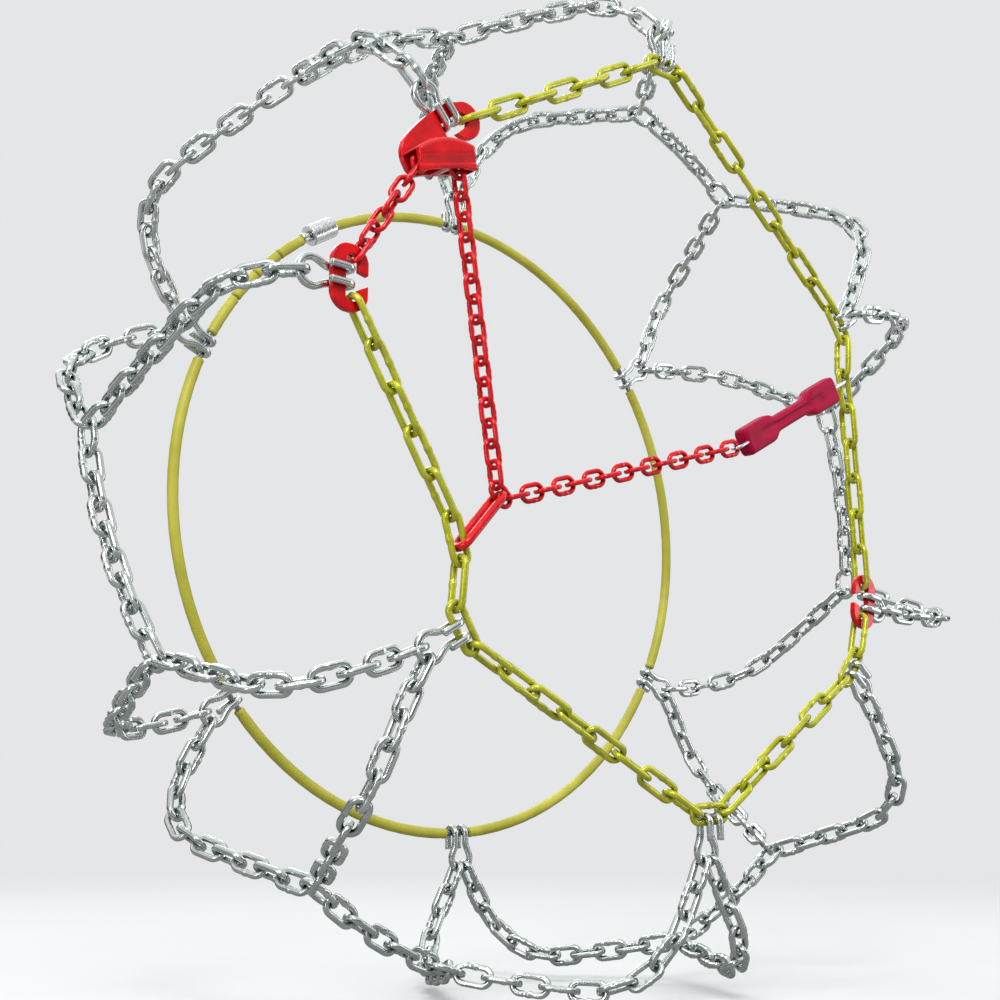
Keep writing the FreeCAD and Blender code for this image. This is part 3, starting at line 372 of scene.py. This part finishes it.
def sheath_piece(node, material):
    """Plastic tube with a crimped band at each end of each length."""
    gather = Gather()
    for start, end, outer in hoop_spans(node):
        steps = max(16, int((end - start) * 2))
        edge = np.radians(np.abs(np.linspace(start, end, steps) - start)) * HOOP_RADIUS
        far = edge[::-1]
        near = np.minimum(edge, far)
        band = 0.05 * np.exp(-((near - 4 * MM) / (1.2 * MM)) ** 2)
        ripple = 0.985 - band + 0.012 * np.cos(edge / (2.1 * MM))
        points, faces = sweep(hoop_line(start, end, steps), outer * ripple, sides=20, up=(0, 1, 0))
        gather.add(points, faces, (start * 0.137) % 1.0)
    return finish_piece(gather.build(node + "_tube"), node, material)


# ---------------------------------------------------------------- rubber strap

def strap_piece(node, material):
    """Moulded dog-bone strap with chamfered ends, a groove down the front and a parting line."""
    points, triangles = solids(node)[0]
    _, axes, _ = principal_frame(points, triangles)
    local = points @ axes.T
    low, high = local.min(axis=0), local.max(axis=0)
    middle = (low + high) / 2
    half_length, half_width, half_thick = (high - low) / 2
    if (axes[2] @ [0, -1, 0]) < 0:
        axes[2] *= -1
        middle[2] *= -1
    if np.linalg.det(axes) < 0:
        axes[1] *= -1
        middle[1] *= -1
    stations = np.concatenate([[0, 0.3, 0.8, 1.5, 2.4, 3.5], np.linspace(5, 51, 32)]) * MM
    stations = np.concatenate([stations - half_length, [0.0], (half_length - stations)[::-1]])
    sides = 64
    angle = np.linspace(0, 2 * math.pi, sides, endpoint=False)
    rings = []
    for along in stations:
        from_end = (half_length - abs(along)) / MM
        pad = 1 / (1 + math.exp((from_end - 33.5) / 1.7))
        waist = 11.0 / 19.0
        width = half_width * (waist + (1 - waist) * pad)
        thick = half_thick * (0.80 + 0.20 * pad)
        chamfer = 1 - 0.22 * max(0.0, 1 - from_end / 2.6) ** 1.6
        power = 6.0 - 2.4 * (1 - pad)
        cos, sin = np.cos(angle), np.sin(angle)
        reach = (np.abs(cos) ** power + np.abs(sin) ** power) ** (-1 / power)
        y, z = width * chamfer * cos * reach, thick * chamfer * sin * reach
        groove = (0.45 + 1.0 / (1 + math.exp((19.0 - from_end) / 1.2))) * MM * min(1.0, from_end / 4.0)
        depth = groove * np.exp(-(y / (width * 0.34)) ** 4)
        z = np.where(sin > 0, z - depth, z + 0.5 * depth)
        parting = 0.22 * MM * np.exp(-(z / (0.45 * MM)) ** 2)
        y = y + np.sign(cos) * parting
        rings.append(np.stack([np.full(sides, along), y, z], axis=1))
    points = np.concatenate(rings)
    faces = grid_faces(len(stations), sides, False)
    ends = []
    for row, along in ((0, -half_length), (len(stations) - 1, half_length)):
        ring = points[row * sides:(row + 1) * sides]
        centre = ring.mean(axis=0)
        inset = centre + (ring - centre) * 0.5
        ends.append((row, np.concatenate([inset, [centre]])))
    for row, extra in ends:
        base = len(points)
        points = np.concatenate([points, extra])
        for column in range(sides):
            beside = (column + 1) % sides
            quad = (row * sides + column, row * sides + beside, base + beside, base + column)
            fan = (base + column, base + beside, base + sides)
            faces.append(quad[::-1] if row == 0 else quad)
            faces.append(fan[::-1] if row == 0 else fan)
    gather = Gather()
    gather.add((points + middle) @ axes, faces)
    return finish_piece(gather.build(node + "_moulded"), node, material)


# ---------------------------------------------------------------- materials

class Shader:
    """A node material built step by step."""

    def __init__(self, name):
        self.material = bpy.data.materials.new(name)
        self.material.use_nodes = True
        self.tree = self.material.node_tree
        self.surface = self.tree.nodes["Principled BSDF"]
        self.place = self.tree.nodes.new("ShaderNodeTexCoord").outputs["Object"]
        self.tone = self.tree.nodes.new("ShaderNodeAttribute")
        self.tone.attribute_name = "tone"

    def link(self, source, target):
        self.tree.links.new(source, target)

    def noise(self, scale, detail=3.0, roughness=0.55, stretch=None):
        place = self.place
        if stretch:
            mapping = self.tree.nodes.new("ShaderNodeMapping")
            mapping.inputs["Scale"].default_value = stretch
            self.link(place, mapping.inputs["Vector"])
            place = mapping.outputs["Vector"]
        texture = self.tree.nodes.new("ShaderNodeTexNoise")
        texture.inputs["Scale"].default_value = scale
        texture.inputs["Detail"].default_value = detail
        texture.inputs["Roughness"].default_value = roughness
        self.link(place, texture.inputs["Vector"])
        return texture.outputs["Fac"]

    def spots(self, scale):
        texture = self.tree.nodes.new("ShaderNodeTexVoronoi")
        texture.inputs["Scale"].default_value = scale
        self.link(self.place, texture.inputs["Vector"])
        return texture.outputs["Distance"]

    def ramp(self, source, low, high, low_value, high_value):
        """Value mapped smoothly from one range to another."""
        node = self.tree.nodes.new("ShaderNodeMapRange")
        node.interpolation_type = "SMOOTHSTEP"
        ends = {"From Min": low, "From Max": high, "To Min": low_value, "To Max": high_value}
        for name, value in ends.items():
            node.inputs[name].default_value = value
        self.link(source, node.inputs["Value"])
        return node.outputs["Result"]

    def mix(self, share, first, second, mode="MIX"):
        """Colour mixed from two colours by a value."""
        node = self.tree.nodes.new("ShaderNodeMix")
        node.data_type = "RGBA"
        node.blend_type = mode
        for source, name in ((share, "Factor"), (first, "A"), (second, "B")):
            target = node.inputs[name]
            if isinstance(source, bpy.types.NodeSocket):
                self.link(source, target)
            elif isinstance(source, tuple):
                target.default_value = (*source, 1.0)
            else:
                target.default_value = source
        return node.outputs["Result"]

    def maths(self, operation, first, second):
        node = self.tree.nodes.new("ShaderNodeMath")
        node.operation = operation
        for source, target in ((first, node.inputs[0]), (second, node.inputs[1])):
            if isinstance(source, bpy.types.NodeSocket):
                self.link(source, target)
            else:
                target.default_value = source
        return node.outputs["Value"]

    def bump(self, height, strength, distance, base=None):
        node = self.tree.nodes.new("ShaderNodeBump")
        node.inputs["Strength"].default_value = strength
        node.inputs["Distance"].default_value = distance
        self.link(height, node.inputs["Height"])
        if base:
            self.link(base, node.inputs["Normal"])
        return node.outputs["Normal"]

    def painted_corner_shade(self, reach):
        """Ambient occlusion used for painted shade: near 0 in tight corners, 1 on open surfaces."""
        node = self.tree.nodes.new("ShaderNodeAmbientOcclusion")
        node.samples = 8
        node.inputs["Distance"].default_value = reach
        return node.outputs["AO"]

    def edges(self):
        """Pointiness of the surface, above a half on outer edges."""
        return self.tree.nodes.new("ShaderNodeNewGeometry").outputs["Pointiness"]

    def finish(self, colour, roughness, normal=None, **values):
        self.link(colour, self.surface.inputs["Base Color"])
        self.link(roughness, self.surface.inputs["Roughness"])
        if normal:
            self.link(normal, self.surface.inputs["Normal"])
        for name, value in values.items():
            self.surface.inputs[name.replace("_", " ")].default_value = value
        return self.material


def zinc_material():
    """Zinc plated steel: cool silver with cloudy grey patches, and painted shade darkening the corners."""
    shader = Shader("zinc_plate")
    cloud = shader.noise(90, 4)
    grain = shader.noise(900, 2)
    colour = shader.mix(shader.ramp(cloud, 0.35, 0.68, 0, 1), (0.56, 0.62, 0.605), (0.76, 0.80, 0.79))
    colour = shader.mix(shader.ramp(shader.tone.outputs["Fac"], 0, 1, 0, 0.4), colour, (0.82, 0.85, 0.83))
    # painted shade: the AO mask darkens corners and gaps between links towards near black
    colour = shader.mix(shader.ramp(shader.painted_corner_shade(0.004), 0.2, 0.85, 0.75, 0), colour, (0.10, 0.13, 0.13))
    rough = shader.ramp(grain, 0.3, 0.7, 0.20, 0.28)
    normal = shader.bump(grain, 0.05, 0.0001, shader.bump(cloud, 0.12, 0.0003))
    return shader.finish(colour, rough, normal, Metallic=1.0)


def coat_material(name, deep, bright, edge, metallic, coat):
    """Glossy coating on steel: lively colour, thin at the edges, painted shade darkening the corners,
    slightly rippled.
    """
    shader = Shader(name)
    cloud = shader.noise(60, 3)
    ripple = shader.noise(420, 2)
    colour = shader.mix(shader.ramp(cloud, 0.32, 0.7, 0, 1), deep, bright)
    colour = shader.mix(shader.ramp(shader.tone.outputs["Fac"], 0, 1, 0.0, 0.22), colour, edge)
    worn = shader.maths("MULTIPLY", shader.ramp(shader.edges(), 0.54, 0.62, 0, 1),
                        shader.ramp(shader.noise(300, 4), 0.5, 0.62, 0, 1))
    colour = shader.mix(shader.maths("MULTIPLY", worn, 0.3), colour, edge)
    # painted shade: the AO mask darkens corners and gaps towards a quarter of the deep colour
    colour = shader.mix(shader.ramp(shader.painted_corner_shade(0.004), 0.2, 0.85, 0.7, 0), colour,
                        tuple(value * 0.25 for value in deep))
    rough = shader.ramp(ripple, 0.3, 0.7, 0.20, 0.36)
    normal = shader.bump(ripple, 0.06, 0.0001, shader.bump(cloud, 0.12, 0.0004))
    return shader.finish(colour, rough, normal, Metallic=metallic, Specular_IOR_Level=0.15,
                         Coat_Weight=coat, Coat_Roughness=0.06)


def rubber_material():
    """Moulded crimson rubber with a fine grain and pale scuffs."""
    shader = Shader("strap_rubber")
    cloud = shader.noise(35, 4)
    grain = shader.spots(1500)
    colour = shader.mix(shader.ramp(cloud, 0.3, 0.7, 0, 1), (0.36, 0.001, 0.036), (0.49, 0.002, 0.052))
    colour = shader.mix(shader.ramp(shader.noise(500, 5), 0.62, 0.75, 0, 0.25), colour, (0.56, 0.03, 0.08))
    rough = shader.ramp(cloud, 0.3, 0.7, 0.38, 0.52)
    normal = shader.bump(grain, 0.35, 0.00015, shader.bump(cloud, 0.25, 0.0008))
    return shader.finish(colour, rough, normal, Metallic=0.0, Specular_IOR_Level=0.12)


def wire_material():
    """Bright drawn wire with fine lines along it."""
    shader = Shader("drawn_wire")
    lines = shader.noise(700, 2, stretch=(1.0, 1.0, 0.2))
    colour = shader.mix(shader.ramp(lines, 0.35, 0.65, 0, 1), (0.62, 0.64, 0.66), (0.88, 0.89, 0.90))
    # painted shade: the AO mask darkens tight corners of the wire towards near black
    colour = shader.mix(shader.ramp(shader.painted_corner_shade(0.003), 0.2, 0.85, 0.7, 0), colour, (0.12, 0.12, 0.13))
    return shader.finish(colour, shader.ramp(lines, 0.3, 0.7, 0.16, 0.32), shader.bump(lines, 0.3, 0.0002),
                         Metallic=1.0)


def cable_material():
    """Galvanised strands, greyer and duller than the links."""
    shader = Shader("cable_strand")
    cloud = shader.noise(120, 3)
    colour = shader.mix(shader.ramp(cloud, 0.35, 0.7, 0, 1), (0.34, 0.36, 0.37), (0.58, 0.60, 0.61))
    # painted shade: the AO mask darkens the grooves between strands towards black
    colour = shader.mix(shader.ramp(shader.painted_corner_shade(0.0015), 0.2, 0.85, 0.8, 0), colour, (0.05, 0.05, 0.05))
    return shader.finish(colour, shader.ramp(cloud, 0.3, 0.7, 0.30, 0.5), shader.bump(cloud, 0.3, 0.0003),
                         Metallic=1.0)


def sheath_material():
    """Satin plastic tube with a slight orange-peel surface and dusty marks."""
    shader = Shader("sheath_plastic")
    cloud = shader.noise(25, 4)
    peel = shader.noise(600, 2)
    colour = shader.mix(shader.ramp(cloud, 0.35, 0.7, 0, 1), (0.50, 0.47, 0.035), (0.66, 0.62, 0.07))
    colour = shader.mix(shader.ramp(shader.noise(160, 5), 0.58, 0.75, 0, 0.35), colour, (0.42, 0.41, 0.25))
    return shader.finish(colour, shader.ramp(peel, 0.3, 0.7, 0.36, 0.52), shader.bump(peel, 0.3, 0.0002),
                         Metallic=0.0)


zinc = zinc_material()
yellow = coat_material("yellow_coat", (0.44, 0.445, 0.008), (0.66, 0.665, 0.018), (0.80, 0.80, 0.14),
                       0.35, 0.7)
red = coat_material("red_coat", (0.60, 0.002, 0.008), (0.88, 0.004, 0.008), (0.94, 0.03, 0.035), 0.15, 0.55)
rubber = rubber_material()
wire = wire_material()
strand = cable_material()
sheath = sheath_material()


# ---------------------------------------------------------------- pieces

SQUARE_WIRE = 3.0
ROUND_WIRE = 2.0
TREAD_BEAD = 0.16
SIDE_BEAD = 0.15
PULL_BEAD = 0.13
RING_BEAD = 0.06
for node in sorted(nodes):
    if node.startswith(("diamond_", "connector_", "corner_links")):
        link_piece(node, SQUARE_WIRE, TREAD_BEAD, zinc)
    elif node.startswith("side_chain_"):
        link_piece(node, ROUND_WIRE, SIDE_BEAD, yellow)
    elif node.startswith("pull_chain_"):
        link_piece(node, ROUND_WIRE, PULL_BEAD, red)
    elif node.endswith("_cable"):
        cable_piece(node, strand)
    elif node.endswith(("_sheath", "_sheaths")):
        sheath_piece(node, sheath)

link_piece("tension_ring", ROUND_WIRE, RING_BEAD, red)
fork_piece("outer_fork_hooks", zinc)
fork_piece("inner_fork_hooks", zinc)
MELTED_PARTS = [
    ("shackle_plate_1", "shackle_1_coated", 0.45, 7, red, "red_coat"),
    ("shackle_plate_2", "shackle_2_coated", 0.45, 7, red, "red_coat"),
    ("lock_plate", "lock_plate_coated", 0.45, 6, red, "red_coat"),
    ("chain_guide_hood", "hood_coated", 0.40, 4, red, "red_coat"),
    ("coupling_socket", "socket_turned", 0.40, 3, wire, "coupling_metal"),
    ("coupling_knob", "knob_turned", 0.40, 3, wire, "coupling_metal"),
    ("guide_rivets", "rivets_formed", 0.30, 3, wire, "bright_wire"),
]
for node, name, voxel, rounds, material, slot in MELTED_PARTS:
    smoothed_piece(node, name, voxel * MM, rounds, material)
strap_piece("rubber_strap", rubber)
for node in ("tensioner_eye", "tensioner_hook"):
    nodes[node].data.materials.clear()
    nodes[node].data.materials.append(wire)


# ---------------------------------------------------------------- stage, light and camera

PALE = (0.78, 0.79, 0.80)


def area_light(name, place, target, width, height, power):
    """Soft rectangular light aimed at a point."""
    light = bpy.data.lights.new(name, "AREA")
    light.shape = "RECTANGLE"
    light.size = width
    light.size_y = height
    light.energy = power
    lamp = bpy.data.objects.new(name, light)
    lamp.location = place
    lamp.rotation_mode = "QUATERNION"
    lamp.rotation_quaternion = (Vector(target) - Vector(place)).to_track_quat("-Z", "Y")
    bpy.context.scene.collection.objects.link(lamp)


def build_world():
    """Pale surroundings for the camera; for reflections, a bright sky over a darker studio."""
    world = bpy.data.worlds.new("studio")
    bpy.context.scene.world = world
    world.use_nodes = True
    tree = world.node_tree
    make = tree.nodes.new
    background = tree.nodes["Background"]
    direction = make("ShaderNodeTexCoord")
    split = make("ShaderNodeSeparateXYZ")
    tree.links.new(direction.outputs["Generated"], split.inputs["Vector"])
    ramp = make("ShaderNodeValToRGB")
    shift = make("ShaderNodeMapRange")
    shift.inputs["From Min"].default_value = -1.0
    tree.links.new(split.outputs["Z"], shift.inputs["Value"])
    tree.links.new(shift.outputs["Result"], ramp.inputs["Fac"])
    stops = [(0.0, 0.14), (0.42, 0.07), (0.56, 0.05), (0.66, 0.26), (0.80, 0.80), (1.0, 1.0)]
    while len(ramp.color_ramp.elements) < len(stops):
        ramp.color_ramp.elements.new(0.5)
    for element, (place, level) in zip(ramp.color_ramp.elements, stops):
        element.position = place
        element.color = (level * 0.97, level, level, 1)
    path = make("ShaderNodeLightPath")
    mix = make("ShaderNodeMix")
    mix.data_type = "RGBA"
    mix.inputs["B"].default_value = (*PALE, 1)
    tree.links.new(ramp.outputs["Color"], mix.inputs["A"])
    tree.links.new(path.outputs["Is Camera Ray"], mix.inputs["Factor"])
    tree.links.new(mix.outputs["Result"], background.inputs["Color"])


def build_floor():
    """Large pale floor that fades into the surroundings."""
    mesh = bpy.data.meshes.new("floor")
    reach = 12.0
    level = cad_bounds[0].z - 0.004
    corners = [(-reach, -reach, level), (reach, -reach, level), (reach, reach, level), (-reach, reach, level)]
    mesh.from_pydata(corners, [], [(0, 1, 2, 3)])
    floor = bpy.data.objects.new("floor", mesh)
    bpy.context.scene.collection.objects.link(floor)
    shader = Shader("pale_floor")
    pale = shader.mix(shader.noise(3, 3), (0.80, 0.81, 0.82), (0.84, 0.85, 0.86))
    seen = shader.tree.nodes.new("ShaderNodeLightPath").outputs["Is Camera Ray"]
    colour = shader.mix(seen, (0.22, 0.22, 0.22), pale)
    shader.finish(colour, shader.ramp(shader.noise(40, 2), 0, 1, 0.6, 0.75))
    glow = shader.tree.nodes.new("ShaderNodeEmission")
    glow.inputs["Color"].default_value = (*PALE, 1)
    blend = shader.tree.nodes.new("ShaderNodeMixShader")
    distance = shader.tree.nodes.new("ShaderNodeVectorMath")
    distance.operation = "LENGTH"
    shader.link(shader.place, distance.inputs[0])
    shader.link(shader.ramp(distance.outputs["Value"], 0.6, 2.6, 0, 1), blend.inputs["Fac"])
    shader.link(shader.surface.outputs["BSDF"], blend.inputs[1])
    shader.link(glow.outputs["Emission"], blend.inputs[2])
    shader.link(blend.outputs["Shader"], shader.tree.nodes["Material Output"].inputs["Surface"])
    mesh.materials.append(shader.material)


def build_camera():
    """Camera low at the left front, looking up at the outer face."""
    data = bpy.data.cameras.new("camera")
    camera = bpy.data.objects.new("camera", data)
    bpy.context.scene.collection.objects.link(camera)
    azimuth, elevation, distance = math.radians(-42.1), math.radians(-11.7), 1.066
    back = Vector((math.sin(azimuth) * math.cos(elevation), -math.cos(azimuth) * math.cos(elevation),
                   math.sin(elevation)))
    camera.location = back * distance
    camera.rotation_mode = "QUATERNION"
    camera.rotation_quaternion = (-back).to_track_quat("-Z", "Y")
    data.sensor_width = 36.0
    data.lens = 55.47
    data.shift_x = -0.0562
    data.shift_y = -0.0054
    data.clip_start = 0.01
    bpy.context.scene.camera = camera


build_world()
build_floor()
build_camera()
area_light("key", (-1.2, -1.6, 1.5), (0, 0, 0), 0.9, 0.9, 30)
area_light("fill", (1.8, -1.2, 0.6), (0, 0, 0), 0.5, 1.6, 8)
area_light("rim", (0.4, 1.8, 1.6), (0, 0, 0), 1.8, 1.0, 16)
area_light("strip", (-1.7, -0.5, 0.1), (0, 0, 0), 0.15, 1.6, 6)
bpy.context.scene.view_settings.view_transform = "Standard"
